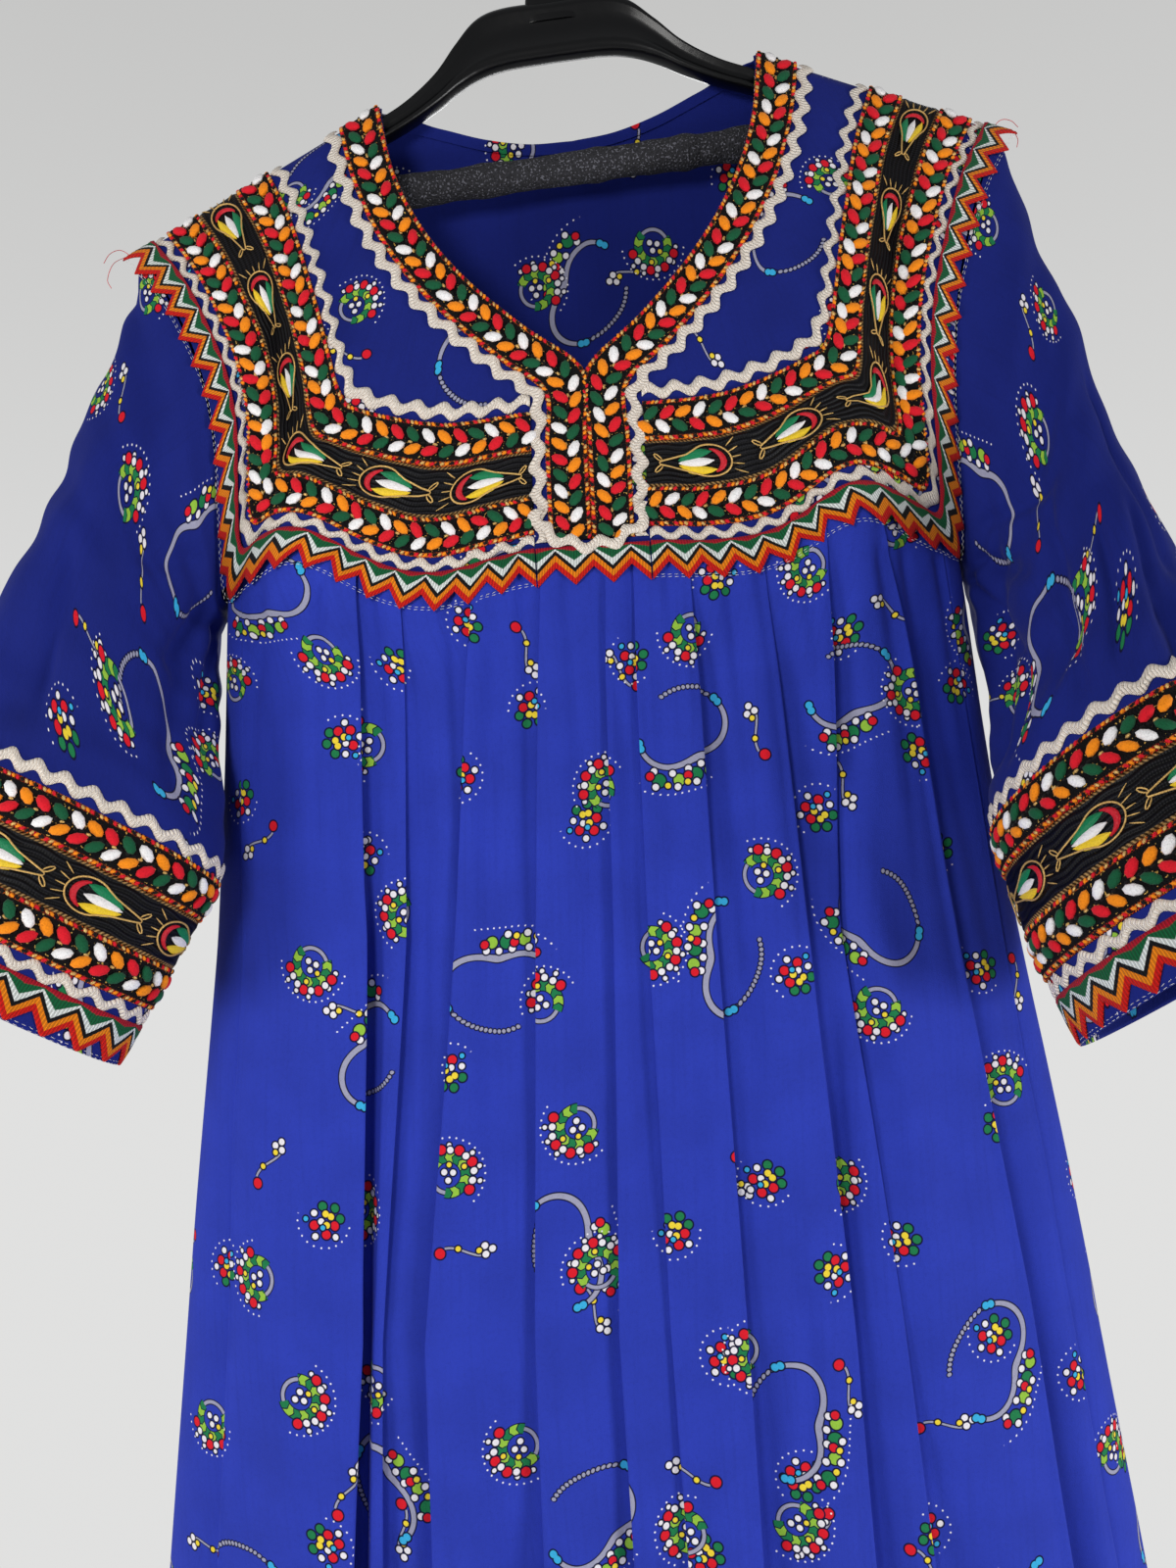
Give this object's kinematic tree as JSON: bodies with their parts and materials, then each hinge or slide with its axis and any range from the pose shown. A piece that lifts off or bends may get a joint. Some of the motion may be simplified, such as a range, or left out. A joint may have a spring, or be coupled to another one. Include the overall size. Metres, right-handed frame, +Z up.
{
  "type": "kabyle dress on a clothes hanger",
  "caption": "Loose dress with a V neck, trimmed yoke, pleated skirt and wide trimmed sleeves, hanging open on a plastic clothes hanger with a foam covered bar.",
  "frame": {"origin": "top of the inside of the hanger's hook, where a rail carries it", "axes": "+Z up, -Y out of the front of the dress, +X to the right as seen from the front"},
  "size_m": [0.6537, 0.2481, 1.3298],
  "materials": {
    "cloth": "matt blue crepe with a small repeating plant print",
    "braid": "wool leaves in white, red, green and orange on black",
    "rickrack": "cream with a metallic thread",
    "ribbon": "black ribbed ribbon with embroidered leaves",
    "zigzag": "rows of zigzag stitching",
    "hanger_plastic": "black gloss",
    "foam": "dark grey foam"
  },
  "bodies": {
    "root": {"front_yoke": "cloth", "front_skirt": "cloth", "back_panel": "cloth", "sleeve_right": "cloth", "sleeve_left": "cloth", "cuff_rick_inner_right": "rickrack", "cuff_rick_inner_left": "rickrack", "cuff_rick_outer_right": "rickrack", "cuff_rick_outer_left": "rickrack", "yoke_rick_inner_right": "rickrack", "yoke_rick_inner_left": "rickrack", "yoke_rick_outer_right": "rickrack", "yoke_rick_outer_left": "rickrack", "neck_rick_right": "rickrack", "neck_rick_left": "rickrack", "cuff_braid_inner_right": "braid", "cuff_braid_inner_left": "braid", "cuff_braid_outer_right": "braid", "cuff_braid_outer_left": "braid", "yoke_braid_inner_right": "braid", "yoke_braid_inner_left": "braid", "yoke_braid_outer_right": "braid", "yoke_braid_outer_left": "braid", "neck_braid_right": "braid", "neck_braid_left": "braid", "cuff_ribbon_right": "ribbon", "cuff_ribbon_left": "ribbon", "yoke_ribbon_right": "ribbon", "yoke_ribbon_left": "ribbon", "cuff_zigzag_right": "zigzag", "cuff_zigzag_left": "zigzag", "yoke_zigzag_right": "zigzag", "yoke_zigzag_left": "zigzag", "hanger_frame": "hanger_plastic", "hanger_bar_foam": "foam"}
  },
  "joints": []
}
